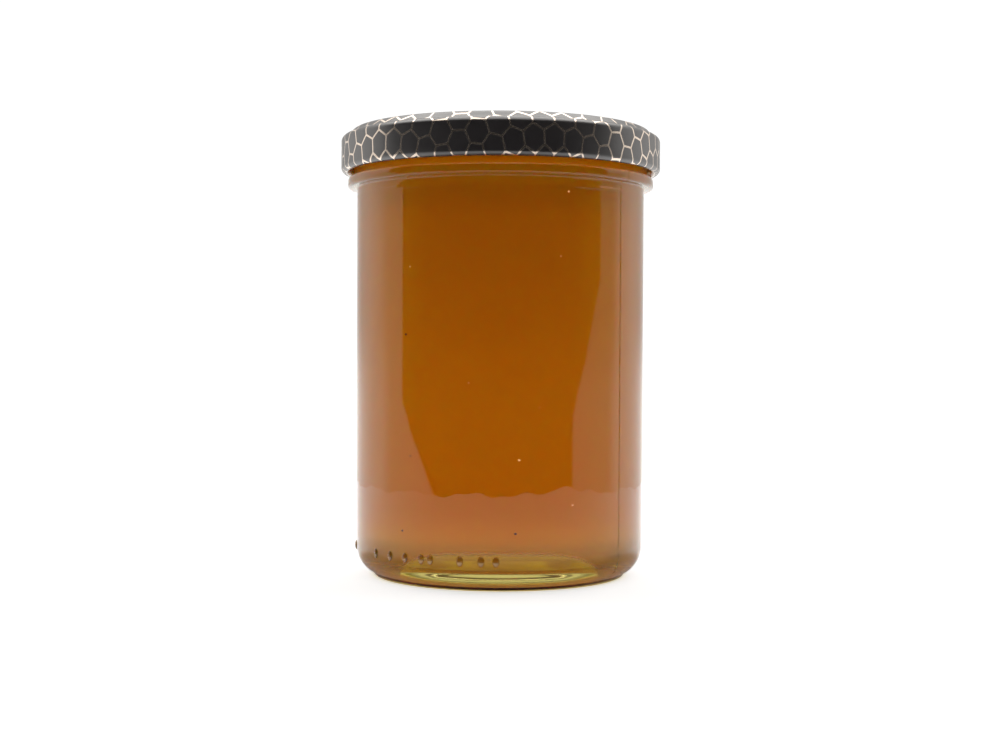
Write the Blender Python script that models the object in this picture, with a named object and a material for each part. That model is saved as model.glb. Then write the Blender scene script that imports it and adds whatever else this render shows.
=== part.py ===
"""A clear glass jar filled with honey and shut with a low twist-off cap.

Three pieces: the glass jar, the honey that fills it and the sheet metal cap.
All are turned about the Z axis. The foot of the jar stands on z = 0, and
azimuth 0 looks to -Y, which is the side with the moulded dots.
"""

import math

import bmesh
import bpy
from mathutils import Vector

MM = 0.001
SEGMENTS = 64
CAP_SEGMENTS = 72

# Jar, outside
FOOT_BEARING_INNER = 31.2
FOOT_BEARING_OUTER = 33.0
FOOT_RADIUS = 33.75
FOOT_ROUND = 0.7
FOOT_HOLLOW_EDGE = 30.2
FOOT_HOLLOW_RISE = 0.7
PUSH_UP = 2.4
NOTCH_HEIGHT = 1.25
HEEL_ROUND = 7.8
HEEL_TOP = 8.0
HEEL_SWEEP = 56.0
BODY_RADIUS_LOW = 38.44
BODY_RADIUS_HIGH = 38.49
PARTING_HEIGHT = 100.9
PARTING_STEP = 0.13
RING_RADIUS = 40.94
RING_UNDERSIDE = 102.5
RING_ROUND = 2.0
RING_TOP = 106.5
RING_EDGE_ROUND = 0.6
NECK_RADIUS = 39.4
NECK_FOOT = 107.0
RIM_TOP = 117.8
RIM_ROUND = 1.2

# Jar, inside
INNER_RADIUS = 36.15
INNER_CORNER = 7.0
BASE_TOP = 5.4
BASE_CROWN = 0.6

# Honey
HONEY_GAP = 0.3
HONEY_LEVEL = 112.0

# Cap
CAP_RADIUS = 42.75
CAP_WALL = 0.5
CAP_TOP = 118.66
CAP_PANEL_RADIUS = 39.5
CAP_PANEL_ROUND = 0.45
CAP_SHOULDER = 117.25
CAP_SHOULDER_ROUND = 1.2
BEAD_BOTTOM = 107.35
BEAD_ROUND = 1.25
BEAD_INNER = 40.95
BEAD_HEIGHT = 1.9
LUG_COUNT = 6
LUG_FIRST = -77.0
LUG_HALF_ANGLE = 8.0
LUG_REACH = 0.9

# Moulded dots on the heel, by azimuth in degrees
DOT_AZIMUTHS = (-85.0, -55.0, -45.8, -37.8, -30.3, -26.4, -14.5, -6.6, -1.1)
DOT_HEIGHT = 7.9
DOT_HALF_WIDTH = 0.85
DOT_HALF_TALL = 1.25
DOT_RELIEF = 0.5
DOT_SINK = 0.5
DOT_BAND = 2.0


def clear_scene():
    for obj in list(bpy.data.objects):
        bpy.data.objects.remove(obj, do_unlink=True)


def arc(center_r, center_z, radius, start, end, steps):
    """Points on an arc in the (radius, height) plane, angles in degrees."""
    points = []
    for i in range(steps + 1):
        angle = math.radians(start + (end - start) * i / steps)
        points.append((center_r + radius * math.cos(angle), center_z + radius * math.sin(angle)))
    return points


def crown(radius, edge, rise, steps):
    """Points of a shallow crown, from the axis out to the radius."""
    points = []
    for i in range(steps):
        share = i / steps
        points.append((radius * share, edge + rise * (1.0 - share * share)))
    return points


def turned(name, profile_at, segments, base_height):
    """A closed body turned about Z; its profile starts and ends on the axis.

    profile_at gives the (radius, height) points in millimetres for an azimuth
    in degrees. The object's origin lies on the axis at base_height.
    """
    bm = bmesh.new()
    count = len(profile_at(0.0))
    first = bm.verts.new(Vector((0.0, 0.0, profile_at(0.0)[0][1] - base_height)) * MM)
    last = bm.verts.new(Vector((0.0, 0.0, profile_at(0.0)[-1][1] - base_height)) * MM)
    columns = []
    for i in range(segments):
        azimuth = 360.0 * i / segments
        east = math.sin(math.radians(azimuth))
        north = -math.cos(math.radians(azimuth))
        column = [first]
        for radius, height in profile_at(azimuth)[1:-1]:
            column.append(bm.verts.new(Vector((radius * east, radius * north, height - base_height)) * MM))
        column.append(last)
        columns.append(column)
    for i in range(segments):
        here = columns[i]
        after = columns[(i + 1) % segments]
        for k in range(count - 1):
            corners = []
            for vert in (here[k], after[k], after[k + 1], here[k + 1]):
                if vert not in corners:
                    corners.append(vert)
            bm.faces.new(corners)
    bm.normal_update()
    if bm.calc_volume(signed=True) < 0.0:
        bmesh.ops.reverse_faces(bm, faces=bm.faces[:])
    mesh = bpy.data.meshes.new(name)
    bm.to_mesh(mesh)
    bm.free()
    obj = bpy.data.objects.new(name, mesh)
    obj.location = (0.0, 0.0, base_height * MM)
    bpy.context.scene.collection.objects.link(obj)
    return obj


def smooth(obj, sharp_angle):
    obj.data.shade_smooth()
    obj.data.set_sharp_from_angle(angle=math.radians(sharp_angle))


def jar_foot():
    """From the middle of the hollow underside out to the notch above the foot."""
    points = crown(FOOT_HOLLOW_EDGE, FOOT_HOLLOW_RISE, PUSH_UP - FOOT_HOLLOW_RISE, 4)
    points.append((FOOT_HOLLOW_EDGE, FOOT_HOLLOW_RISE))
    points.append((FOOT_BEARING_INNER, 0.0))
    points.append((FOOT_BEARING_OUTER, 0.0))
    points += arc(FOOT_RADIUS - FOOT_ROUND, FOOT_ROUND, FOOT_ROUND, -60.0, 0.0, 2)
    points.append((FOOT_RADIUS + 0.1, NOTCH_HEIGHT))
    return points


def jar_body():
    """The heel, the straight side and the step of the mould parting."""
    center = BODY_RADIUS_LOW - HEEL_ROUND
    points = arc(center, HEEL_TOP, HEEL_ROUND, -HEEL_SWEEP, 0.0, 6)
    points.append((BODY_RADIUS_LOW, HEEL_TOP + DOT_BAND))
    points.append((BODY_RADIUS_HIGH, PARTING_HEIGHT - 0.1))
    points.append((BODY_RADIUS_HIGH + PARTING_STEP, PARTING_HEIGHT + 0.1))
    return points


def jar_ring():
    """The stout ring under the cap, and its upper edge in to the neck."""
    points = [(BODY_RADIUS_HIGH + PARTING_STEP, RING_UNDERSIDE - 0.4)]
    points.append((RING_RADIUS - RING_ROUND, RING_UNDERSIDE))
    points += arc(RING_RADIUS - RING_ROUND, RING_UNDERSIDE + RING_ROUND, RING_ROUND, -65.0, 0.0, 4)
    points += arc(RING_RADIUS - RING_EDGE_ROUND, RING_TOP - RING_EDGE_ROUND, RING_EDGE_ROUND, 0.0, 75.0, 3)
    points.append((NECK_RADIUS, NECK_FOOT))
    return points


def jar_rim():
    """The neck and the rounded rim that the cap closes on."""
    points = arc(NECK_RADIUS - RIM_ROUND, RIM_TOP - RIM_ROUND, RIM_ROUND, 0.0, 90.0, 3)
    points += arc(INNER_RADIUS + RIM_ROUND, RIM_TOP - RIM_ROUND, RIM_ROUND, 90.0, 180.0, 3)
    return points


def jar_inside():
    """The straight bore, the round inner corner and the crowned floor."""
    center = INNER_RADIUS - INNER_CORNER
    points = arc(center, BASE_TOP + INNER_CORNER, INNER_CORNER, 0.0, -90.0, 6)
    points += crown(center, BASE_TOP, BASE_CROWN, 3)[::-1]
    return points


def jar_profile(azimuth):
    return jar_foot() + jar_body() + jar_ring() + jar_rim() + jar_inside()


def heel_surface(height):
    """Radius and outward slope angle of the outer wall near the dots."""
    drop = max(HEEL_TOP - height, 0.0)
    angle = math.asin(drop / HEEL_ROUND)
    return BODY_RADIUS_LOW - HEEL_ROUND * (1.0 - math.cos(angle)), angle


def dot(azimuth):
    """One moulded dot, a flattened ball that stands half out of the wall."""
    radius, angle = heel_surface(DOT_HEIGHT)
    bpy.ops.mesh.primitive_uv_sphere_add(segments=10, ring_count=6, radius=1.0)
    ball = bpy.context.object
    ball.scale = (DOT_HALF_WIDTH * MM, (DOT_RELIEF + DOT_SINK) * MM, DOT_HALF_TALL * MM)
    ball.rotation_euler = (angle, 0.0, math.radians(azimuth))
    middle = radius - DOT_SINK
    east = math.sin(math.radians(azimuth))
    north = -math.cos(math.radians(azimuth))
    ball.location = Vector((middle * east, middle * north, DOT_HEIGHT)) * MM
    return ball


def add_dots(jar):
    """Joins the dots to the glass with one Boolean and removes their solids."""
    group = bpy.data.collections.new("dots")
    bpy.context.scene.collection.children.link(group)
    for azimuth in DOT_AZIMUTHS:
        ball = dot(azimuth)
        for owner in list(ball.users_collection):
            owner.objects.unlink(ball)
        group.objects.link(ball)
        ball.hide_render = True
        ball.display_type = "WIRE"
    union = jar.modifiers.new("dots", "BOOLEAN")
    union.operation = "UNION"
    union.operand_type = "COLLECTION"
    union.collection = group
    union.solver = "EXACT"
    bpy.context.view_layer.objects.active = jar
    bpy.ops.object.modifier_apply(modifier=union.name)
    for ball in list(group.objects):
        bpy.data.objects.remove(ball, do_unlink=True)
    bpy.data.collections.remove(group)


def honey_profile(azimuth):
    """The honey follows the glass inside, up to its level."""
    center = INNER_RADIUS - INNER_CORNER
    radius = INNER_CORNER - HONEY_GAP
    floor = crown(center, BASE_TOP + HONEY_GAP, BASE_CROWN, 3)
    corner = arc(center, BASE_TOP + INNER_CORNER, radius, -90.0, 0.0, 6)
    top = [(INNER_RADIUS - HONEY_GAP, HONEY_LEVEL), (0.0, HONEY_LEVEL)]
    return floor + corner + top


def lug_share(azimuth):
    """1 on a lug, 0 between lugs, with a short ramp at either end."""
    pitch = 360.0 / LUG_COUNT
    offset = (azimuth - LUG_FIRST + pitch / 2.0) % pitch - pitch / 2.0
    return min(max((LUG_HALF_ANGLE + 2.5 - abs(offset)) / 5.0, 0.0), 1.0)


def cap_outside():
    """From the middle of the raised panel out to the foot of the skirt."""
    panel = CAP_PANEL_RADIUS - CAP_PANEL_ROUND
    points = [(0.0, CAP_TOP), (panel * 0.5, CAP_TOP)]
    points += arc(panel, CAP_TOP - CAP_PANEL_ROUND, CAP_PANEL_ROUND, 90.0, 20.0, 2)
    shoulder = CAP_RADIUS - CAP_SHOULDER_ROUND
    points += arc(shoulder, CAP_SHOULDER - CAP_SHOULDER_ROUND, CAP_SHOULDER_ROUND, 90.0, 0.0, 5)
    return points


def cap_bead(reach):
    """The curled edge at the foot of the skirt; reach draws it in to a lug."""
    outer = CAP_RADIUS - BEAD_ROUND
    points = arc(outer, BEAD_BOTTOM + BEAD_ROUND, BEAD_ROUND, 0.0, -90.0, 5)
    inner = BEAD_INNER - reach
    middle = BEAD_BOTTOM + BEAD_HEIGHT / 2.0
    points.append((inner + 0.25, BEAD_BOTTOM + 0.1))
    points.append((inner, middle - 0.35))
    points.append((inner, middle + 0.35))
    points.append((inner + 0.35, BEAD_BOTTOM + BEAD_HEIGHT - 0.1))
    points.append((CAP_RADIUS - CAP_WALL, BEAD_BOTTOM + BEAD_HEIGHT + 0.3))
    return points


def cap_inside():
    """Up the inside of the skirt and under the top back to the axis."""
    shoulder = CAP_RADIUS - CAP_SHOULDER_ROUND
    radius = CAP_SHOULDER_ROUND - CAP_WALL
    points = arc(shoulder, CAP_SHOULDER - CAP_SHOULDER_ROUND, radius, 0.0, 90.0, 3)
    panel = CAP_PANEL_RADIUS - CAP_WALL - CAP_PANEL_ROUND
    points.append((panel, CAP_TOP - CAP_WALL))
    points.append((0.0, CAP_TOP - CAP_WALL))
    return points


def cap_profile(azimuth):
    return cap_outside() + cap_bead(LUG_REACH * lug_share(azimuth)) + cap_inside()


def principled(name, color, roughness, metallic):
    material = bpy.data.materials.new(name)
    material.use_nodes = True
    shader = material.node_tree.nodes["Principled BSDF"]
    shader.inputs["Base Color"].default_value = (*color, 1.0)
    shader.inputs["Roughness"].default_value = roughness
    shader.inputs["Metallic"].default_value = metallic
    return material


def glass_material():
    material = principled("clear_glass", (0.93, 0.95, 0.92), 0.03, 0.0)
    shader = material.node_tree.nodes["Principled BSDF"]
    shader.inputs["Transmission Weight"].default_value = 1.0
    shader.inputs["IOR"].default_value = 1.52
    return material


def honey_material():
    material = principled("amber_honey", (0.32, 0.08, 0.002), 0.08, 0.0)
    shader = material.node_tree.nodes["Principled BSDF"]
    shader.inputs["IOR"].default_value = 1.49
    return material


def cap_material():
    return principled("black_cap", (0.012, 0.010, 0.012), 0.38, 0.0)


def build_jar():
    jar = turned("jar", jar_profile, SEGMENTS, 0.0)
    add_dots(jar)
    smooth(jar, 35.0)
    jar.data.materials.clear()
    jar.data.materials.append(glass_material())
    return jar


def build_honey():
    honey = turned("honey", honey_profile, SEGMENTS, BASE_TOP + HONEY_GAP)
    smooth(honey, 35.0)
    honey.data.materials.append(honey_material())
    return honey


def build_cap():
    cap = turned("lid", cap_profile, CAP_SEGMENTS, BEAD_BOTTOM)
    smooth(cap, 40.0)
    cap.data.materials.append(cap_material())
    return cap


clear_scene()
build_jar()
build_honey()
build_cap()
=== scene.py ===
import math

import bpy
import numpy as np
from mathutils import Matrix, Vector


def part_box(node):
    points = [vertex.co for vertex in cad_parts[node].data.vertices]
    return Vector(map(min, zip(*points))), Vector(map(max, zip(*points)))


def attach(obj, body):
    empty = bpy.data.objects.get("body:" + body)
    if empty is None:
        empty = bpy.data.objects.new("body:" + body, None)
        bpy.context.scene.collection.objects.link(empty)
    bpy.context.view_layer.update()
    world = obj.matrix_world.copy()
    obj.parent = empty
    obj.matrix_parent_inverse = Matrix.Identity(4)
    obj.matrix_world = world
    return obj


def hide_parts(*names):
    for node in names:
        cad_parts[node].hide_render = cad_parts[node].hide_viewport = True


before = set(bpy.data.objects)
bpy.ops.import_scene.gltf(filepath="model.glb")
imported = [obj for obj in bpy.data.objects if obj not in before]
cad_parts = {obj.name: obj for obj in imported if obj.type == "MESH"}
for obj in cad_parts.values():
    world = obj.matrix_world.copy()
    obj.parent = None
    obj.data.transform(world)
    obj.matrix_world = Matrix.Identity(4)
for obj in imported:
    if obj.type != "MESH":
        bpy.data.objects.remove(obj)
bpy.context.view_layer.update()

# Lengths are in millimetres up to the meshes, which are in metres. Azimuth 0 looks to -Y,
# and positive azimuths turn towards +X.
MM = 0.001
JAR_LOW, JAR_HIGH = (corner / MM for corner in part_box("jar"))
LID_LOW, LID_HIGH = (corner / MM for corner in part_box("lid"))

# Glass, outside
FOOT_HOLLOW_EDGE = 30.2
FOOT_HOLLOW_RISE = 0.7
PUSH_UP = 2.4
FOOT_BEARING_INNER = 31.2
FOOT_BEARING_OUTER = 33.0
FOOT_RADIUS = 33.75
FOOT_ROUND = 0.7
HEEL_ROUND = 7.8
HEEL_TOP = 8.0
HEEL_SWEEP = 56.0
BODY_RADIUS_LOW = 38.44
BODY_RADIUS_HIGH = 38.49
PARTING_HEIGHT = 100.9
PARTING_RIDGE = 0.07
PARTING_HALF_WIDTH = 0.3
RING_RADIUS = JAR_HIGH.x
RING_UNDERSIDE = 103.25
RING_CORNER_ROUND = 0.8
RING_FILLET = 0.5
RING_TOP = 106.5
RING_EDGE_ROUND = 1.4
NECK_RADIUS = 39.4
NECK_FOOT = 107.0
RIM_TOP = JAR_HIGH.z
RIM_ROUND = 1.2

# Glass, inside
INNER_RADIUS = 36.15
INNER_CORNER = 7.0
BASE_TOP = 5.4
BASE_CROWN = 0.6

# Unevenness of the inner wall: depth, number round the wall, start and height of a turn of each
WALL_WAVES = ((0.06, 3.0, 0.8, 35.0), (0.035, 7.0, -1.1, -60.0), (0.02, 13.0, 2.0, 45.0))
WALL_WAVE_START = 12.0
WALL_WAVE_RISE = 20.0

# The glass that honey wets mirrors nothing on the wall, and a yellow light on the floor, below
# this height
WETTED_LOW = 5.9
WETTED_WALL_MIRROR = (0.0, 0.0, 0.0)
WETTED_FLOOR_MIRROR = (0.95, 0.8, 0.3)

# Moulded dots and seams
DOT_AZIMUTHS = (-83.0, -55.0, -45.8, -37.8, -30.3, -26.4, -14.5, -6.6, -1.1)
DOT_HEIGHT = 7.9
DOT_HALF_WIDTH = 0.85
DOT_HALF_TALL = 1.25
DOT_RELIEF = 0.4
SEAM_AZIMUTHS = (52.8, -127.2)
SEAM_HALF_WIDTH = 0.2
SEAM_RELIEF = 0.12
SEAM_LOW = 3.0

# Steps round the axis in degrees, with finer ones at the dots and the seams
GLASS_STEP = 1.0
HONEY_STEP = 1.5
CAP_STEP = 1.0
DOT_SPREAD, DOT_STEP = 1.6, 0.2
SEAM_SPREAD, SEAM_STEP = 0.5, 0.1
SHARP_ANGLE = 40.0

# Honey, which reaches a little into the wall so that no air shows between them; it is clear in
# a lens over the base
HONEY_OVERLAP = 0.05
HONEY_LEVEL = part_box("honey")[1].z / MM
CLEAR_HALF_WIDTH = 23.0
CLEAR_DEPTH = 4.0

# Specks at the wall: azimuth, height and half width of each
DARK_SPECKS = ((-39.5, 64.0, 0.34), (-41.0, 14.5, 0.32), (6.3, 14.8, 0.36), (-37.0, 33.5, 0.24))
PALE_SPECKS = ((7.6, 33.0, 0.36), (27.2, 99.6, 0.34), (29.6, 21.5, 0.32), (24.0, 83.5, 0.24),
               (-37.5, 81.0, 0.24), (-12.0, 52.0, 0.18), (15.5, 46.0, 0.18))
SPECK_RADIUS = 36.12
SPECK_COLUMNS = 12
SPECK_SQUASH = 0.8

# Cap
CAP_RADIUS = LID_HIGH.x
CAP_WALL = 0.5
CAP_TOP = LID_HIGH.z
CAP_PANEL_RADIUS = 39.9
CAP_PANEL_FOOT = 40.9
CAP_SHOULDER = 117.0
CAP_SHOULDER_ROUND = 1.4

# The soft edge of the raised panel and the fillet at its foot, as distances out and up
CAP_PANEL_EDGE = ((-1.3, 0.0), (-0.7, -0.05), (-0.3, -0.17), (0.0, -0.4))
CAP_FOOT_FILLET = ((0.0, 0.12), (0.3, 0.01))

# The curl at the cap's lower edge, and its lugs
BEAD_BOTTOM = LID_LOW.z
BEAD_ROUND = 1.25
BEAD_INNER = 40.95
BEAD_HEIGHT = 1.9
BEAD_INNER_ROUND = 0.9
LUG_COUNT = 6
LUG_FIRST = -77.0
LUG_HALF_ANGLE = 8.0
LUG_RAMP = 5.0
LUG_REACH = 0.9

# Camera
CAMERA_PLACE = (0.07, -410.36, 59.55)
CAMERA_PITCH = -0.85
CAMERA_ROLL = 0.26
CAMERA_LENS = 54.62
CAMERA_SENSOR = 36.0


class Graph:
    """Short names for adding shader nodes to a tree and joining them."""

    def __init__(self, tree):
        self.tree = tree

    def add(self, kind, inputs=None, **settings):
        node = self.tree.nodes.new(kind)
        for name, value in settings.items():
            setattr(node, name, value)
        for key, value in (inputs or {}).items():
            self.feed(node.inputs[key], value)
        return node

    def feed(self, socket, value):
        if isinstance(value, bpy.types.NodeSocket):
            self.tree.links.new(value, socket)
        else:
            socket.default_value = value

    def math(self, operation, *values):
        node = self.add("ShaderNodeMath", operation=operation)
        for socket, value in zip(node.inputs, values):
            self.feed(socket, value)
        return node.outputs[0]

    def ramp(self, value, start, end, low=0.0, high=1.0, shape="SMOOTHSTEP"):
        """Runs from low to high as the value goes from start to end."""
        node = self.add("ShaderNodeMapRange", interpolation_type=shape)
        for socket, number in zip(node.inputs, (value, start, end, low, high)):
            self.feed(socket, number)
        return node.outputs[0]

    def blend(self, share, first, second):
        """Mixes two colours."""
        node = self.add("ShaderNodeMix", data_type="RGBA")
        for index, value in ((0, share), (6, first), (7, second)):
            self.feed(node.inputs[index], value)
        return node.outputs[2]

    def choose(self, share, first, second):
        """Mixes two numbers."""
        node = self.add("ShaderNodeMix", data_type="FLOAT")
        for index, value in ((0, share), (2, first), (3, second)):
            self.feed(node.inputs[index], value)
        return node.outputs[0]

    def noise(self, place, scale, detail, roughness=0.5):
        node = self.add("ShaderNodeTexNoise")
        self.feed(node.inputs["Vector"], place)
        node.inputs["Scale"].default_value = scale
        node.inputs["Detail"].default_value = detail
        node.inputs["Roughness"].default_value = roughness
        return node.outputs["Fac"]


def new_material(name):
    """A material with a Principled shader, its graph and the object's own coordinates."""
    material = bpy.data.materials.new(name)
    material.use_nodes = True
    graph = Graph(material.node_tree)
    shader = material.node_tree.nodes["Principled BSDF"]
    place = graph.add("ShaderNodeTexCoord").outputs["Object"]
    return material, graph, shader, place


def bump(graph, shader, height, distance):
    node = graph.add("ShaderNodeBump")
    node.inputs["Strength"].default_value = 1.0
    node.inputs["Distance"].default_value = distance
    graph.feed(node.inputs["Height"], height)
    graph.feed(shader.inputs["Normal"], node.outputs["Normal"])


def absorb(material, graph, color, density):
    """Lets long paths through the body take on a colour."""
    volume = graph.add("ShaderNodeVolumeAbsorption")
    volume.inputs["Color"].default_value = color
    volume.inputs["Density"].default_value = density
    output = material.node_tree.nodes["Material Output"]
    graph.feed(output.inputs["Volume"], volume.outputs["Volume"])


# Glass: a moulded dot has painted shade in its upper half, painted light in its lower half and darker
# painted shade at its rim, standing in for what its small lens shows of the surroundings
GLASS_TINT = (0.985, 0.99, 0.98, 1.0)
GLASS_IOR = 1.52
GLASS_SMUDGE_ROUGHNESS = 0.02
GLASS_RIPPLE = 0.000015
SMUDGE_NOISE = (60.0, 4.0, 0.6)
RIPPLE_NOISE = (90.0, 1.0)
GLASS_DEPTH_TINT = (0.965, 0.88, 0.1, 1.0)
GLASS_DEPTH_DENSITY = 20.0
DOT_PAINTED_LIGHT = (0.95, 0.75, 0.55, 1.0)
DOT_PAINTED_SHADE = (0.42, 0.28, 0.08, 1.0)
DOT_RIM_PAINTED_SHADE = (0.35, 0.24, 0.12, 1.0)
DOT_FROSTED_TRANSMISSION = 0.45
DOT_SPLIT = (-0.3, 0.1)
DOT_LIGHT_AND_SHADE_EDGE = (0.0, 0.15)
DOT_FROST_EDGE = (0.1, 0.3)
DOT_RIM_SHADE_OUTER = (0.0, 0.08)
DOT_RIM_SHADE_INNER = (0.5, 0.2)


def glass_material(name, mirror_tint=(1.0, 1.0, 1.0)):
    """Clear glass; mirror_tint colours the light that its surface mirrors."""
    material, graph, shader, place = new_material(name)
    # The moulded dots carry painted light and shade in their colour
    dot = graph.add("ShaderNodeAttribute", attribute_name="dot_share").outputs["Fac"]
    z = graph.add("ShaderNodeSeparateXYZ", {"Vector": place}).outputs["Z"]
    upper = graph.ramp(z, *((DOT_HEIGHT + offset) * MM for offset in DOT_SPLIT))
    dot_light_and_shade = graph.blend(upper, DOT_PAINTED_LIGHT, DOT_PAINTED_SHADE)
    # Painted shade along the dot's rim
    rim_shade = graph.math("MULTIPLY", graph.ramp(dot, *DOT_RIM_SHADE_OUTER), graph.ramp(dot, *DOT_RIM_SHADE_INNER))
    dot_light_and_shade = graph.blend(rim_shade, dot_light_and_shade, DOT_RIM_PAINTED_SHADE)
    tint_with_painted_dots = graph.blend(graph.ramp(dot, *DOT_LIGHT_AND_SHADE_EDGE), GLASS_TINT, dot_light_and_shade)
    graph.feed(shader.inputs["Base Color"], tint_with_painted_dots)
    shader.inputs["IOR"].default_value = GLASS_IOR
    # The lower half lets less light through, so that its painted light shows as a pale patch
    lower = graph.math("SUBTRACT", 1.0, upper)
    frost = graph.math("MULTIPLY", graph.ramp(dot, *DOT_FROST_EDGE), lower)
    transmission = graph.choose(frost, 1.0, DOT_FROSTED_TRANSMISSION)
    graph.feed(shader.inputs["Transmission Weight"], transmission)
    shader.inputs["Specular Tint"].default_value = (*mirror_tint, 1.0)
    smudge = graph.noise(place, *SMUDGE_NOISE)
    roughness = graph.ramp(smudge, 0.45, 0.8, 0.0, GLASS_SMUDGE_ROUGHNESS)
    graph.feed(shader.inputs["Roughness"], roughness)
    ripple = graph.noise(place, *RIPPLE_NOISE)
    bump(graph, shader, ripple, GLASS_RIPPLE)
    absorb(material, graph, GLASS_DEPTH_TINT, GLASS_DEPTH_DENSITY)
    return material


# Honey: each rise is from one height or distance from the middle to another, in metres
HONEY_IOR = 1.49
HONEY_CLEAR = (1.0, 0.98, 0.9, 1.0)
HONEY_STREAKS = ((0.95, 0.41, 0.01, 1.0), (1.0, 0.44, 0.01, 1.0))
HONEY_UPPER = (0.83, 0.335, 0.008, 1.0)
HONEY_SIDES = (0.92, 0.47, 0.01, 1.0)
# Lighter amber near the top: painted light that stands in for the light that the cap's shade takes
# away
HONEY_TOP_PAINTED_LIGHT = (1.0, 0.37, 0.005, 1.0)
HONEY_BODY_RISE = (0.0085, 0.0105)
HONEY_UPPER_RISE = (0.035, 0.09)
HONEY_SIDES_RISE = (0.017, 0.027)
HONEY_TOP_LIGHT_RISE = (0.097, 0.106)
HONEY_BODY_TRANSMISSION = 0.75
HONEY_TOP_TRANSMISSION = 0.45
HONEY_SCATTER_RADIUS = (1.0, 0.4, 0.05)
HONEY_SCATTER_SCALE = 0.02
HONEY_CLEAR_ROUGHNESS = 0.03
HONEY_HAZE_ROUGHNESS = (0.33, 0.37)
HONEY_DEPTH_TINT = (0.98, 0.963, 0.0, 1.0)
HONEY_DEPTH_DENSITY = 500.0
STREAK_STRETCH = (1.0, 1.0, 0.05)
STREAK_NOISE = (260.0, 3.0, 0.6)
CLOUD_NOISE = (45.0, 2.0)


def honey_material():
    """Amber honey with a fine haze in its body, clear where it is thin over the base, and lighter
    near the top as painted light against the cap's shade.
    """
    material, graph, shader, place = new_material("amber_honey")
    x, y, z = graph.add("ShaderNodeSeparateXYZ", {"Vector": place}).outputs
    side_way = graph.math("ABSOLUTE", x)
    aside = graph.ramp(side_way, 0.0, CLEAR_HALF_WIDTH * MM, 0.0, 1.0, "LINEAR")
    lens = graph.math("MULTIPLY_ADD", graph.math("POWER", aside, 4.0), CLEAR_DEPTH * MM, z)
    body = graph.ramp(lens, *HONEY_BODY_RISE)
    upper = graph.ramp(z, *HONEY_UPPER_RISE)
    sides = graph.ramp(side_way, *HONEY_SIDES_RISE)
    # Painted light near the top, where the cap shades the honey
    top = graph.ramp(z, *HONEY_TOP_LIGHT_RISE)
    drawn = graph.add("ShaderNodeVectorMath", {0: place, 1: STREAK_STRETCH}, operation="MULTIPLY")
    streaks = graph.noise(drawn.outputs[0], *STREAK_NOISE)
    amber = graph.blend(streaks, *HONEY_STREAKS)
    amber = graph.blend(upper, amber, HONEY_UPPER)
    amber = graph.blend(sides, amber, HONEY_SIDES)
    amber = graph.blend(top, amber, HONEY_TOP_PAINTED_LIGHT)
    graph.feed(shader.inputs["Base Color"], graph.blend(body, HONEY_CLEAR, amber))
    transmission = graph.choose(body, 1.0, HONEY_BODY_TRANSMISSION)
    transmission = graph.choose(top, transmission, HONEY_TOP_TRANSMISSION)
    graph.feed(shader.inputs["Transmission Weight"], transmission)
    shader.inputs["Subsurface Weight"].default_value = 1.0
    shader.inputs["Subsurface Radius"].default_value = HONEY_SCATTER_RADIUS
    shader.inputs["Subsurface Scale"].default_value = HONEY_SCATTER_SCALE
    shader.inputs["IOR"].default_value = HONEY_IOR
    shader.inputs["Specular Tint"].default_value = (0.0, 0.0, 0.0, 1.0)
    cloud = graph.noise(place, *CLOUD_NOISE)
    haze = graph.ramp(cloud, 0.4, 0.8, *HONEY_HAZE_ROUGHNESS)
    graph.feed(shader.inputs["Roughness"], graph.choose(body, HONEY_CLEAR_ROUGHNESS, haze))
    absorb(material, graph, HONEY_DEPTH_TINT, HONEY_DEPTH_DENSITY)
    return material


# The honeycomb print is a flat sheet of hexagons, drawn over the cap as the metal is pressed
PRINT_EDGE = 3.242
PRINT_LINE = 0.45
PRINT_LINE_SOFTNESS = 0.04
PRINT_TURN = math.radians(46.43)
PRINT_CENTER = (3.994, -3.134)
PRINT_STRETCH = -0.0215
PRINT_SHEAR = 0.0119
PRINT_DRAW = 0.901
PRINT_CURL_DRAW = 0.7
PRINT_EDGE_RADIUS = 44.0
HEX_HALF = math.sqrt(3.0) / 2.0
HEX_REPEAT = 1.5
PRINT_BLACK = ((0.009, 0.006, 0.008, 1.0), (0.014, 0.010, 0.012, 1.0))
PRINT_GOLD = ((0.76, 0.64, 0.54, 1.0), (0.90, 0.77, 0.66, 1.0))
PRINT_BLACK_ROUGHNESS = (0.32, 0.36)
PRINT_GOLD_ROUGHNESS = 0.24
PRINT_IOR = 1.7
PRINT_GRAIN = 0.00001
MOTTLE_NOISE = (900.0, 3.0)
DUST_NOISE = (140.0, 5.0, 0.7)


def print_sheet(azimuths, points, panel, edge, bead):
    """Where each point of the cap lay on the flat sheet, in millimetres.

    panel, edge and bead are the profile points where the raised panel, the side and the curl start.
    """
    points = np.array(points)
    way = np.concatenate([[0.0], np.cumsum(np.linalg.norm(np.diff(points, axis=0), axis=1))])
    side = PRINT_EDGE_RADIUS + PRINT_DRAW * (way[bead] - way[edge])
    curl = side + PRINT_CURL_DRAW * (way[-1] - way[bead])
    marks = (0.0, way[panel], way[edge], way[bead], way[-1])
    radius = np.interp(way, marks, (0.0, points[panel][0], PRINT_EDGE_RADIUS, side, curl))
    turn = np.radians(np.array(azimuths))[:, None]
    return np.stack([radius * np.sin(turn), -radius * np.cos(turn), 0.0 * turn * radius], axis=2)


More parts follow.
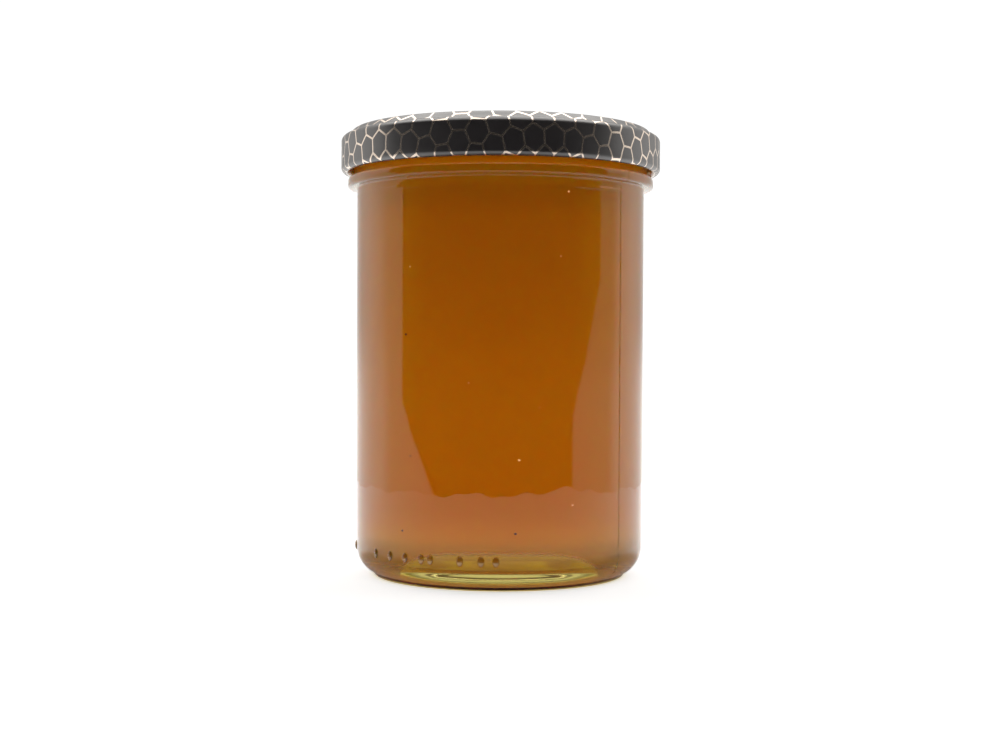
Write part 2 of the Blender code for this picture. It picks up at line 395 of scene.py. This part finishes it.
def honeycomb(graph):
    """1 on the printed lines and 0 inside the cells, by the place on the flat sheet."""
    sheet = graph.add("ShaderNodeAttribute", attribute_name="print_sheet").outputs["Vector"]
    flat_x, flat_y = graph.add("ShaderNodeSeparateXYZ", {"Vector": sheet}).outputs[:2]

    def mixed(a, b, offset):
        second = graph.math("MULTIPLY", flat_y, b)
        return graph.math("ADD", graph.math("MULTIPLY_ADD", flat_x, a, second), offset)

    across = mixed(1.0 + PRINT_STRETCH, PRINT_SHEAR, -PRINT_CENTER[0])
    along = mixed(PRINT_SHEAR, 1.0 - PRINT_STRETCH, -PRINT_CENTER[1])
    cosine = math.cos(PRINT_TURN) / PRINT_EDGE
    sine = math.sin(PRINT_TURN) / PRINT_EDGE
    u = graph.math("MULTIPLY_ADD", across, cosine, graph.math("MULTIPLY", along, sine))
    v = graph.math("MULTIPLY_ADD", along, cosine, graph.math("MULTIPLY", across, -sine))
    u = graph.math("PINGPONG", u, HEX_REPEAT)
    v = graph.math("PINGPONG", v, HEX_HALF)

    def from_center(a, b):
        slanted = graph.math("MULTIPLY_ADD", a, HEX_HALF, graph.math("MULTIPLY", b, 0.5))
        return graph.math("MAXIMUM", b, slanted)

    other = from_center(graph.math("SUBTRACT", HEX_REPEAT, u), graph.math("SUBTRACT", HEX_HALF, v))
    nearest = graph.math("MINIMUM", from_center(u, v), other)
    margin = graph.math("MULTIPLY", graph.math("SUBTRACT", HEX_HALF, nearest), PRINT_EDGE)
    half = PRINT_LINE / 2.0
    return graph.ramp(margin, half + PRINT_LINE_SOFTNESS, half - PRINT_LINE_SOFTNESS)


def print_material():
    """Hexagons of black paint between metallic lines."""
    material, graph, shader, place = new_material("printed_black")
    line = honeycomb(graph)
    mottle = graph.noise(place, *MOTTLE_NOISE)
    dust = graph.noise(place, *DUST_NOISE)
    black = graph.blend(dust, *PRINT_BLACK)
    gold = graph.blend(mottle, *PRINT_GOLD)
    graph.feed(shader.inputs["Base Color"], graph.blend(line, black, gold))
    graph.feed(shader.inputs["Metallic"], line)
    paint = graph.ramp(dust, 0.3, 0.75, *PRINT_BLACK_ROUGHNESS)
    graph.feed(shader.inputs["Roughness"], graph.choose(line, paint, PRINT_GOLD_ROUGHNESS))
    shader.inputs["IOR"].default_value = PRINT_IOR
    shader.inputs["Specular IOR Level"].default_value = 1.0
    bump(graph, shader, mottle, PRINT_GRAIN)
    return material


# Specks and bare metal
DARK_SPECK = (0.12, 0.045, 0.012, 1.0)
PALE_SPECK = (0.95, 0.45, 0.18, 1.0)
# The pale specks glow by emission, a painted glow for the light they would gather from the honey
# behind them
PALE_SPECK_PAINTED_GLOW = 0.5
SPECK_DIM = 0.7
SPECK_ROUGHNESS = 0.4
SPECK_GRAIN = 0.00002
SPECK_NOISE = (2500.0, 2.0)
METAL = ((0.84, 0.82, 0.78, 1.0), (0.92, 0.90, 0.86, 1.0))
METAL_SHARE = 0.3
METAL_ROUGHNESS = (0.3, 0.45)
METAL_GRAIN = 0.00001
METAL_NOISE = (300.0, 3.0)


def speck_material(name, color, painted_glow):
    """A fleck of one colour; its emission strength is a painted glow, standing in for the light that
    a pale one gathers from the honey behind it.
    """
    material, graph, shader, place = new_material(name)
    shader.inputs["Emission Color"].default_value = color
    shader.inputs["Emission Strength"].default_value = painted_glow
    grain = graph.noise(place, *SPECK_NOISE)
    dim = (*(SPECK_DIM * part for part in color[:3]), 1.0)
    graph.feed(shader.inputs["Base Color"], graph.blend(grain, color, dim))
    shader.inputs["Roughness"].default_value = SPECK_ROUGHNESS
    bump(graph, shader, grain, SPECK_GRAIN)
    return material


def metal_material():
    """The pale inside of the cap."""
    material, graph, shader, place = new_material("bare_metal")
    tone = graph.noise(place, *METAL_NOISE)
    graph.feed(shader.inputs["Base Color"], graph.blend(tone, *METAL))
    shader.inputs["Metallic"].default_value = METAL_SHARE
    graph.feed(shader.inputs["Roughness"], graph.ramp(tone, 0.3, 0.7, *METAL_ROUGHNESS))
    bump(graph, shader, tone, METAL_GRAIN)
    return material


def arc(center_r, center_z, radius, start, end, steps):
    """Points on an arc in the (radius, height) plane, angles in degrees."""
    points = []
    for i in range(steps + 1):
        angle = math.radians(start + (end - start) * i / steps)
        points.append((center_r + radius * math.cos(angle), center_z + radius * math.sin(angle)))
    return points


def line(start, end, steps):
    """Points from start to end, both kept."""
    return [tuple(a + (b - a) * i / steps for a, b in zip(start, end)) for i in range(steps + 1)]


def crown(radius, edge, rise, steps):
    """Points of a shallow crown, from the axis out to just inside the radius."""
    return [(radius * i / steps, edge + rise * (1.0 - (i / steps) ** 2)) for i in range(steps)]


def profile_normals(points):
    """Outward unit normals of a profile that runs up the outside, as (radius, height)."""
    run = np.gradient(points, axis=0)
    run /= np.maximum(np.linalg.norm(run, axis=1, keepdims=True), 1e-9)
    return np.stack([run[:, 1], -run[:, 0]], axis=1)


def turned(name, azimuths, points, relief):
    """A closed body turned about Z through the azimuths; its profile starts and ends on the axis.

    relief gives, for all azimuths and rows, how far the surface stands out along its normal.
    """
    points = np.array(points)
    turn = np.radians(np.array(azimuths))[:, None]
    normals = profile_normals(points)
    radius = points[:, 0] + relief * normals[:, 0]
    height = points[:, 1] + relief * normals[:, 1]
    rings = np.stack([radius * np.sin(turn), -radius * np.cos(turn), height], axis=2)[:, 1:-1]
    count = rings.shape[1]
    poles = [[0.0, 0.0, points[0][1]], [0.0, 0.0, points[-1][1]]]
    verts = np.concatenate([rings.reshape(-1, 3), poles])
    first, last = len(verts) - 2, len(verts) - 1
    faces = []
    for i in range(len(azimuths)):
        here = i * count
        after = (i + 1) % len(azimuths) * count
        faces.append((first, after, here))
        for k in range(count - 1):
            faces.append((here + k, after + k, after + k + 1, here + k + 1))
        faces.append((here + count - 1, after + count - 1, last))
    mesh = bpy.data.meshes.new(name)
    mesh.from_pydata((verts * MM).tolist(), [], faces)
    mesh.update()
    obj = bpy.data.objects.new(name, mesh)
    bpy.context.scene.collection.objects.link(obj)
    return obj


def write_attribute(obj, name, kind, field, values):
    """Stores a value for each azimuth and profile point of a turned body, zero at its two ends."""
    rings = values[:, 1:-1].reshape(-1, values.shape[2])
    flat = np.concatenate([rings, np.zeros((2, values.shape[2]))])
    obj.data.attributes.new(name, kind, "POINT").data.foreach_set(field, flat.ravel())


def smooth(obj):
    obj.data.shade_smooth()
    obj.data.set_sharp_from_angle(angle=math.radians(SHARP_ANGLE))


def paint_rows(obj, columns, first_row, last_row, index):
    """Gives the faces between two rows of the profile another material slot."""
    rows = len(obj.data.polygons) // columns
    for i in range(columns):
        for k in range(first_row, last_row):
            obj.data.polygons[i * rows + k].material_index = index


def glass_azimuths():
    """Even steps round the jar, with finer ones at the dots and seams."""
    steps = set(np.round(np.arange(-180.0, 180.0, GLASS_STEP), 3))
    fine = ((DOT_AZIMUTHS, DOT_SPREAD, DOT_STEP), (SEAM_AZIMUTHS, SEAM_SPREAD, SEAM_STEP))
    for places, spread, step in fine:
        for place in places:
            steps |= set(np.round(place + np.arange(-spread, spread + 0.01, step), 3))
    return sorted(steps)


def glass_outside():
    points = crown(FOOT_HOLLOW_EDGE, FOOT_HOLLOW_RISE, PUSH_UP - FOOT_HOLLOW_RISE, 8)
    points += line((FOOT_HOLLOW_EDGE, FOOT_HOLLOW_RISE), (FOOT_BEARING_INNER - 0.3, 0.08), 3)
    points += line((FOOT_BEARING_INNER, 0.0), (FOOT_BEARING_OUTER, 0.0), 2)
    points += arc(FOOT_RADIUS - FOOT_ROUND, FOOT_ROUND, FOOT_ROUND, -70.0, 0.0, 5)
    points.append((FOOT_RADIUS + 0.02, 1.0))
    center = BODY_RADIUS_LOW - HEEL_ROUND
    points += arc(center, HEEL_TOP, HEEL_ROUND, -HEEL_SWEEP, -14.0, 12)
    points += arc(center, HEEL_TOP, HEEL_ROUND, -13.0, 0.0, 10)
    points += line((BODY_RADIUS_LOW, HEEL_TOP + 0.18), (BODY_RADIUS_LOW, HEEL_TOP + 1.6), 8)
    points += line((BODY_RADIUS_LOW, HEEL_TOP + 3.0), (BODY_RADIUS_HIGH, PARTING_HEIGHT - 0.9), 20)
    above = PARTING_HEIGHT + PARTING_HALF_WIDTH
    points.append((BODY_RADIUS_HIGH, PARTING_HEIGHT - PARTING_HALF_WIDTH))
    points.append((BODY_RADIUS_HIGH + PARTING_RIDGE, PARTING_HEIGHT))
    points += line((BODY_RADIUS_HIGH, above), (BODY_RADIUS_HIGH, RING_UNDERSIDE - 0.8), 3)
    return points


def glass_ring():
    fillet = BODY_RADIUS_HIGH + RING_FILLET
    corner = RING_RADIUS - RING_CORNER_ROUND
    edge = RING_RADIUS - RING_EDGE_ROUND
    points = arc(fillet, RING_UNDERSIDE - RING_FILLET, RING_FILLET, 170.0, 100.0, 4)
    points += arc(corner, RING_UNDERSIDE + RING_CORNER_ROUND, RING_CORNER_ROUND, -80.0, 0.0, 10)
    points += arc(edge, RING_TOP - RING_EDGE_ROUND, RING_EDGE_ROUND, 0.0, 80.0, 6)
    points += line((NECK_RADIUS + 0.25, NECK_FOOT - 0.15), (NECK_RADIUS, NECK_FOOT + 0.2), 2)
    return points


def glass_rim():
    points = arc(NECK_RADIUS - RIM_ROUND, RIM_TOP - RIM_ROUND, RIM_ROUND, 0.0, 90.0, 5)
    points += arc(INNER_RADIUS + RIM_ROUND, RIM_TOP - RIM_ROUND, RIM_ROUND, 95.0, 180.0, 5)
    return points


def glass_inside():
    """Down from the honey's level, round the corner and in over the floor."""
    points = line((INNER_RADIUS, HONEY_LEVEL), (INNER_RADIUS, BASE_TOP + INNER_CORNER + 1.0), 24)
    center = INNER_RADIUS - INNER_CORNER
    points += arc(center, BASE_TOP + INNER_CORNER, INNER_CORNER, 0.0, -90.0, 14)
    points += crown(center, BASE_TOP, BASE_CROWN, 8)[::-1]
    return points


def wall_waves(azimuths, heights):
    """Small unevenness of the blown inner wall, in millimetres, zero at the floor."""
    turn = np.radians(np.array(azimuths))[:, None]
    high = np.array(heights)[None, :]
    fade = np.clip((high - WALL_WAVE_START) / WALL_WAVE_RISE, 0.0, 1.0)
    waves = 0.0
    for depth, count, start, lean in WALL_WAVES:
        waves = waves + depth * np.sin(count * turn + start + high / lean)
    return waves * fade


def dot_share(azimuths, points):
    """1 in the middle of a moulded dot, falling to 0 at its edge and beyond."""
    turn = np.array(azimuths)[:, None]
    radius, height = np.array(points).T[:, None, :]
    inside = np.zeros((len(azimuths), len(points)))
    for dot in DOT_AZIMUTHS:
        across = np.radians(turn - dot) * BODY_RADIUS_LOW / DOT_HALF_WIDTH
        along = (height - DOT_HEIGHT) / DOT_HALF_TALL
        inside = np.maximum(inside, 1.0 - across ** 2 - along ** 2)
    return inside


def outer_relief(azimuths, points):
    """The moulded dots on the heel and the two seams, in millimetres."""
    turn = np.array(azimuths)[:, None]
    radius, height = np.array(points).T[:, None, :]
    out = DOT_RELIEF * dot_share(azimuths, points) ** 0.5
    for seam in SEAM_AZIMUTHS:
        away = np.abs(np.radians(turn - seam)) * BODY_RADIUS_LOW / SEAM_HALF_WIDTH
        share = np.clip(1.0 - away ** 2, 0.0, None)
        out += SEAM_RELIEF * share * (height > SEAM_LOW)
    return out


def build_glass():
    outside = glass_outside() + glass_ring()
    inside = glass_inside()
    points = outside + glass_rim() + inside
    azimuths = glass_azimuths()
    relief = np.zeros((len(azimuths), len(points)))
    relief[:, :len(outside)] = outer_relief(azimuths, outside)
    start = len(points) - len(inside)
    relief[:, start:] = wall_waves(azimuths, [height for radius, height in inside])
    relief[:, 0] = 0.0
    relief[:, -1] = 0.0
    glass = turned("jar_glass", azimuths, points, relief)
    smooth(glass)
    shares = np.zeros((len(azimuths), len(points)))
    shares[:, :len(outside)] = dot_share(azimuths, outside)
    write_attribute(glass, "dot_share", "FLOAT", "value", shares[:, :, None])
    glass.data.materials.append(glass_material("clear_glass"))
    glass.data.materials.append(glass_material("wetted_wall", WETTED_WALL_MIRROR))
    glass.data.materials.append(glass_material("wetted_floor", WETTED_FLOOR_MIRROR))
    wall_rows = sum(height > WETTED_LOW for radius, height in inside)
    paint_rows(glass, len(azimuths), start, start + wall_rows, 1)
    paint_rows(glass, len(azimuths), start + wall_rows, len(points) - 1, 2)
    return glass


def build_honey():
    radius = INNER_RADIUS + HONEY_OVERLAP
    center = INNER_RADIUS - INNER_CORNER
    floor = crown(center, BASE_TOP - HONEY_OVERLAP, BASE_CROWN, 8)
    corner = arc(center, BASE_TOP + INNER_CORNER, INNER_CORNER + HONEY_OVERLAP, -90.0, 0.0, 14)
    wall = line((radius, BASE_TOP + INNER_CORNER + 1.0), (radius, HONEY_LEVEL), 24)
    top = line((radius - 1.0, HONEY_LEVEL), (0.0, HONEY_LEVEL), 6)
    points = floor + corner + wall + top
    azimuths = np.arange(-180.0, 180.0, HONEY_STEP)
    side = len(floor + corner + wall)
    relief = np.zeros((len(azimuths), len(points)))
    relief[:, :side] = -wall_waves(azimuths, [height for radius, height in points[:side]])
    honey = turned("honey_fill", azimuths, points, relief)
    smooth(honey)
    honey.data.materials.append(honey_material())
    return honey


def build_specks(name, places, color, painted_glow):
    """Small seeds and flecks that show at the wall of the glass, each a small closed ball."""
    unit = arc(0.0, 0.0, 1.0, -90.0, 90.0, 8)
    mesh = bpy.data.meshes.new(name)
    verts = []
    faces = []
    for azimuth, height, size in places:
        turn = math.radians(azimuth)
        center = Vector((SPECK_RADIUS * math.sin(turn), -SPECK_RADIUS * math.cos(turn), height))
        first = len(verts)
        for i in range(SPECK_COLUMNS):
            angle = 2.0 * math.pi * i / SPECK_COLUMNS
            for radius, rise in unit[1:-1]:
                flat = (radius * math.cos(angle), radius * math.sin(angle))
                verts.append(center + size * Vector((*flat, SPECK_SQUASH * rise)))
        low = len(verts)
        pole = Vector((0.0, 0.0, SPECK_SQUASH * size))
        verts += [center - pole, center + pole]
        rows = len(unit) - 2
        for i in range(SPECK_COLUMNS):
            here = first + i * rows
            after = first + (i + 1) % SPECK_COLUMNS * rows
            faces.append((low, after, here))
            faces.append((here + rows - 1, after + rows - 1, low + 1))
            for k in range(rows - 1):
                faces.append((here + k, after + k, after + k + 1, here + k + 1))
    mesh.from_pydata([tuple(vert * MM) for vert in verts], [], faces)
    mesh.update()
    specks = bpy.data.objects.new(name, mesh)
    bpy.context.scene.collection.objects.link(specks)
    smooth(specks)
    specks.data.materials.append(speck_material(name, color, painted_glow))
    return specks


def lug_share(azimuths):
    """1 on a lug, 0 between lugs, with a short ramp at either end."""
    pitch = 360.0 / LUG_COUNT
    offset = (np.array(azimuths) - LUG_FIRST + pitch / 2.0) % pitch - pitch / 2.0
    return np.clip((LUG_HALF_ANGLE + LUG_RAMP / 2.0 - np.abs(offset)) / LUG_RAMP, 0.0, 1.0)


def cap_printed():
    """The cap's profile from the axis to its lower edge, and where panel, side and curl start."""
    edge = [(CAP_PANEL_RADIUS + out, CAP_TOP + up) for out, up in CAP_PANEL_EDGE]
    foot = [(CAP_PANEL_FOOT + out, CAP_SHOULDER + up) for out, up in CAP_FOOT_FILLET]
    shoulder = CAP_RADIUS - CAP_SHOULDER_ROUND
    points = line((0.0, CAP_TOP), edge[0], 10) + edge[1:-1]
    panel_edge = len(points)
    points += line(edge[-1], foot[0], 4) + foot[1:]
    points += arc(shoulder, CAP_SHOULDER - CAP_SHOULDER_ROUND, CAP_SHOULDER_ROUND, 90.0, 0.0, 12)
    side_edge = len(points) - 1
    points += line((CAP_RADIUS, CAP_SHOULDER - 2.5), (CAP_RADIUS, BEAD_BOTTOM + BEAD_ROUND + 1.0), 4)
    bead_edge = len(points) - 1
    points += arc(CAP_RADIUS - BEAD_ROUND, BEAD_BOTTOM + BEAD_ROUND, BEAD_ROUND, 0.0, -70.0, 7)
    return points, panel_edge, side_edge, bead_edge


def cap_bare():
    """The cap's profile from its lower edge up the inside to the axis."""
    shoulder = CAP_RADIUS - CAP_SHOULDER_ROUND
    middle = BEAD_BOTTOM + BEAD_HEIGHT / 2.0
    inner_round = CAP_SHOULDER_ROUND - CAP_WALL
    points = [(CAP_RADIUS - BEAD_ROUND, BEAD_BOTTOM)]
    points += arc(BEAD_INNER + BEAD_INNER_ROUND / 2.0, middle, BEAD_INNER_ROUND, 250.0, 110.0, 8)
    points.append((CAP_RADIUS - CAP_WALL, BEAD_BOTTOM + BEAD_HEIGHT + 0.3))
    points += arc(shoulder, CAP_SHOULDER - CAP_SHOULDER_ROUND, inner_round, 0.0, 90.0, 4)
    points.append((CAP_PANEL_FOOT - CAP_WALL, CAP_SHOULDER - CAP_WALL))
    points.append((CAP_PANEL_RADIUS - CAP_WALL, CAP_TOP + CAP_PANEL_EDGE[-1][1] - CAP_WALL))
    points.append((0.0, CAP_TOP - CAP_WALL))
    return points


def build_cap():
    printed, panel_edge, side_edge, bead_edge = cap_printed()
    points = printed + cap_bare()
    azimuths = np.arange(-180.0, 180.0, CAP_STEP)
    relief = np.zeros((len(azimuths), len(points)))
    lugs = slice(len(printed) + 2, len(printed) + 9)
    relief[:, lugs] = LUG_REACH * lug_share(azimuths)[:, None]
    cap = turned("cap", azimuths, points, relief)
    smooth(cap)
    sheet = print_sheet(azimuths, points, panel_edge, side_edge, bead_edge)
    write_attribute(cap, "print_sheet", "FLOAT_VECTOR", "vector", sheet)
    cap.data.materials.append(print_material())
    cap.data.materials.append(metal_material())
    paint_rows(cap, len(azimuths), len(printed), len(points) - 1, 1)
    return cap


# Studio: a round pale table, light to the sides and behind, dark where the camera stands
TABLE_RADIUS = 293.0
TABLE_WAVES = ((9.0, 8.0, -90.0), (5.0, 21.0, 40.0))
TABLE_CORNER = 45.0
TABLE_CORNER_AZIMUTH = 48.0
TABLE_CORNER_SPREAD = 9.0
TABLE_RINGS = (0.15, 0.3, 0.5, 0.75, 1.0)
TABLE_STEPS = 180
TABLE_TONE = (0.8, 0.8, 0.8, 1.0)
TABLE_ROUGHNESS = 0.9
TABLE_SPECULAR = 0.1
TABLE_FRONT_LIGHT = 0.38
TABLE_BACK_LIGHT = 1.1
TABLE_FOOT_SHADE = 0.2
# Yellow light under the jar: a painted pool of light for light that has passed through the honey
TABLE_HONEY_LIGHT_POOL = (0.72, 0.60, 0.16, 1.0)

# Places on the table, in metres, between which its light changes
TABLE_FRONT_TO_BACK = (-0.25, 0.12)
TABLE_SHADE_REACH = (0.045, 0.13)
TABLE_SHADE_BACK = (0.0, 0.03)
TABLE_HONEY_LIGHT_EDGE = (0.036, 0.030)

# Strengths of the light
CAMERA_LIFT = 0.75
FRONT_EDGE_LEFT = 0.75
FRONT_EDGE_RIGHT = 0.45
SIDE_LIGHT = 1.08
BACK_LIGHT = 0.78
LOW_EDGE_LEFT = 0.85
LOW_EDGE_RIGHT = 0.68
LOW_LIGHT = 1.3
TOP_LIGHT = 2.0
FRONT_LIGHT = 0.025
FRONT_DEPTH_LIGHT = 1.4
LIGHT_TONE = (1.0, 0.975, 0.94, 1.0)
WHITE = (1.0, 1.0, 1.0, 1.0)
BACKDROP_LIGHT = 1.05

# The light that the jar mirrors begins where a direction's y passes slope times z plus offset,
# kept within the limits, on the left and on the right
LEFT_EDGE_SLOPE = 7.8
LEFT_EDGE_OFFSET = 0.13
LEFT_EDGE_LIMIT = -0.125
LEFT_EDGE_AT_CAP = 0.01
RIGHT_EDGE_SLOPE = 4.82
RIGHT_EDGE_OFFSET = -0.308
RIGHT_EDGE_LIMIT = -0.08
RIGHT_EDGE_LOW_LIMIT = -0.51
EDGE_SOFTNESS = 0.03

# Parts of a direction's x, y or z between which one light passes into the next
LEFT_TO_RIGHT_EDGE = (-0.3, 0.3)
LEFT_TO_RIGHT_LIGHT = (-0.5, 0.5)
GLASS_TO_CAP = (0.1, 0.12)
FRONT_CUT = (-0.75, -0.6)
EDGE_RISE = (0.12, 0.16)
EDGE_TO_SIDE = (0.12, 0.38)
SIDE_TO_BACK = (0.55, 0.85)
LOW_EDGE_TO_BACK = (0.05, 0.3)
ABOVE_TO_BELOW = (0.03, -0.04)
TOP_RISE = (0.6, 0.8)
TOP_BACK_CUT = (0.75, 0.5)
FRONT_DEPTH_TO_BACK = (-0.3, 0.1)


def table_radius(azimuth):
    """The table's outline, a round with a few soft unevennesses."""
    radius = TABLE_RADIUS
    for depth, count, start in TABLE_WAVES:
        radius += depth * math.sin(math.radians(count * azimuth + start))
    away = (azimuth - TABLE_CORNER_AZIMUTH) / TABLE_CORNER_SPREAD
    return radius + TABLE_CORNER * math.exp(-away ** 2)


def table_mesh():
    verts = []
    for share in TABLE_RINGS:
        for i in range(TABLE_STEPS):
            azimuth = 360.0 * i / TABLE_STEPS - 180.0
            radius = table_radius(azimuth) * share * MM
            turn = math.radians(azimuth)
            verts.append((radius * math.sin(turn), -radius * math.cos(turn), 0.0))
    verts.append((0.0, 0.0, 0.0))
    faces = []
    for i in range(TABLE_STEPS):
        after = (i + 1) % TABLE_STEPS
        faces.append((len(verts) - 1, i, after))
        for k in range(len(TABLE_RINGS) - 1):
            inner = k * TABLE_STEPS
            outer = inner + TABLE_STEPS
            faces.append((inner + i, outer + i, outer + after, inner + after))
    mesh = bpy.data.meshes.new("table")
    mesh.from_pydata(verts, [], faces)
    return mesh


def table_material():
    """Pale paper that gives the light that the jar mirrors, with painted shade round its foot and a
    painted yellow pool of light under it.
    """
    material, graph, shader, place = new_material("table_paper")
    y = graph.add("ShaderNodeSeparateXYZ", {"Vector": place}).outputs["Y"]
    camera_ray = graph.add("ShaderNodeLightPath").outputs["Is Camera Ray"]
    glow = graph.ramp(y, *TABLE_FRONT_TO_BACK, TABLE_FRONT_LIGHT, TABLE_BACK_LIGHT)
    length = graph.add("ShaderNodeVectorMath", {"Vector": place}, operation="LENGTH")
    away = length.outputs["Value"]
    shade = graph.ramp(away, *TABLE_SHADE_REACH, TABLE_FOOT_SHADE, 1.0)
    shade = graph.choose(graph.ramp(y, *TABLE_SHADE_BACK), shade, 1.0)
    glow = graph.math("MULTIPLY", glow, shade)
    # Painted yellow pool of light under the jar, in the light that the table gives
    honey_light_pool = graph.ramp(away, *TABLE_HONEY_LIGHT_EDGE)
    shader.inputs["Base Color"].default_value = TABLE_TONE
    shader.inputs["Roughness"].default_value = TABLE_ROUGHNESS
    shader.inputs["Specular IOR Level"].default_value = TABLE_SPECULAR
    graph.feed(shader.inputs["Emission Color"], graph.blend(honey_light_pool, WHITE, TABLE_HONEY_LIGHT_POOL))
    graph.feed(shader.inputs["Emission Strength"], graph.choose(camera_ray, glow, CAMERA_LIFT))
    return material


def build_floor():
    floor = bpy.data.objects.new("table", table_mesh())
    bpy.context.scene.collection.objects.link(floor)
    floor.data.materials.append(table_material())


def lit_share(graph, x, y, z):
    """0 towards the dark front and 1 beyond the edge of the light."""
    left_edge = graph.math("MULTIPLY_ADD", z, LEFT_EDGE_SLOPE, LEFT_EDGE_OFFSET)
    left_edge = graph.math("MINIMUM", left_edge, LEFT_EDGE_LIMIT)
    left_edge = graph.choose(graph.ramp(z, *GLASS_TO_CAP), left_edge, LEFT_EDGE_AT_CAP)
    right_edge = graph.math("MULTIPLY_ADD", z, RIGHT_EDGE_SLOPE, RIGHT_EDGE_OFFSET)
    right_edge = graph.math("MINIMUM", right_edge, RIGHT_EDGE_LIMIT)
    right_edge = graph.math("MAXIMUM", right_edge, RIGHT_EDGE_LOW_LIMIT)
    edge = graph.choose(graph.ramp(x, *LEFT_TO_RIGHT_EDGE), left_edge, right_edge)
    share = graph.ramp(graph.math("SUBTRACT", y, edge), -EDGE_SOFTNESS, EDGE_SOFTNESS)
    return graph.math("MULTIPLY", share, graph.ramp(y, *FRONT_CUT))


def light_around(graph, x, y, z):
    """How strong the light is in each direction, above and below the horizon."""
    near_edge = graph.ramp(x, *LEFT_TO_RIGHT_LIGHT, FRONT_EDGE_LEFT, FRONT_EDGE_RIGHT)
    near = graph.ramp(z, *EDGE_RISE, near_edge, SIDE_LIGHT)
    upper = graph.choose(graph.ramp(y, *EDGE_TO_SIDE), near, SIDE_LIGHT)
    upper = graph.choose(graph.ramp(y, *SIDE_TO_BACK), upper, BACK_LIGHT)
    low_edge = graph.ramp(x, *LEFT_TO_RIGHT_LIGHT, LOW_EDGE_LEFT, LOW_EDGE_RIGHT)
    lower = graph.ramp(y, *LOW_EDGE_TO_BACK, low_edge, LOW_LIGHT)
    return graph.choose(graph.ramp(z, *ABOVE_TO_BELOW), upper, lower)


def build_world():
    """Light by direction, with other strengths for rays that are mirrored or go through the glass."""
    world = bpy.data.worlds.new("studio")
    world.use_nodes = True
    bpy.context.scene.world = world
    graph = Graph(world.node_tree)
    background = world.node_tree.nodes["Background"]
    direction = graph.add("ShaderNodeTexCoord").outputs["Generated"]
    x, y, z = graph.add("ShaderNodeSeparateXYZ", {"Vector": direction}).outputs
    rays = graph.add("ShaderNodeLightPath").outputs
    around = light_around(graph, x, y, z)
    above = graph.math("MULTIPLY", graph.ramp(z, *TOP_RISE), graph.ramp(y, *TOP_BACK_CUT))
    plain = graph.math("MULTIPLY", lit_share(graph, x, y, z), around)
    mirrored = graph.math("ADD", plain, graph.math("MULTIPLY", above, TOP_LIGHT))
    mirrored = graph.math("MAXIMUM", mirrored, FRONT_LIGHT)
    depth = graph.ramp(y, *FRONT_DEPTH_TO_BACK, FRONT_DEPTH_LIGHT, 1.0)
    seen_through = graph.math("MULTIPLY", around, depth)
    strength = graph.choose(rays["Is Glossy Ray"], plain, mirrored)
    strength = graph.choose(rays["Is Transmission Ray"], strength, seen_through)
    final = graph.choose(rays["Is Camera Ray"], strength, BACKDROP_LIGHT)
    tone = graph.blend(rays["Is Camera Ray"], LIGHT_TONE, WHITE)
    graph.feed(background.inputs["Color"], tone)
    graph.feed(background.inputs["Strength"], final)
    bpy.context.scene.view_settings.view_transform = "Standard"


def build_camera():
    pitch = math.radians(CAMERA_PITCH)
    roll = math.radians(CAMERA_ROLL)
    forward = Vector((0.0, math.cos(pitch), math.sin(pitch)))
    level_up = Vector((0.0, -math.sin(pitch), math.cos(pitch)))
    level_right = Vector((1.0, 0.0, 0.0))
    right = level_right * math.cos(roll) + level_up * math.sin(roll)
    up = level_up * math.cos(roll) - level_right * math.sin(roll)
    camera = bpy.data.objects.new("camera", bpy.data.cameras.new("camera"))
    camera.data.lens = CAMERA_LENS
    camera.data.sensor_width = CAMERA_SENSOR
    turn = Matrix((right, up, -forward)).transposed().to_4x4()
    camera.matrix_world = Matrix.Translation(Vector(CAMERA_PLACE) * MM) @ turn
    bpy.context.scene.collection.objects.link(camera)
    bpy.context.scene.camera = camera


def dress(piece, node):
    """Puts a piece in the place of its CAD node."""
    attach(piece, "root")
    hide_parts(node)


dress(build_glass(), "jar")
dress(build_honey(), "honey")
dress(build_specks("dark_specks", DARK_SPECKS, DARK_SPECK, 0.0), "honey")
dress(build_specks("pale_specks", PALE_SPECKS, PALE_SPECK, PALE_SPECK_PAINTED_GLOW), "honey")
dress(build_cap(), "lid")
build_floor()
build_world()
build_camera()
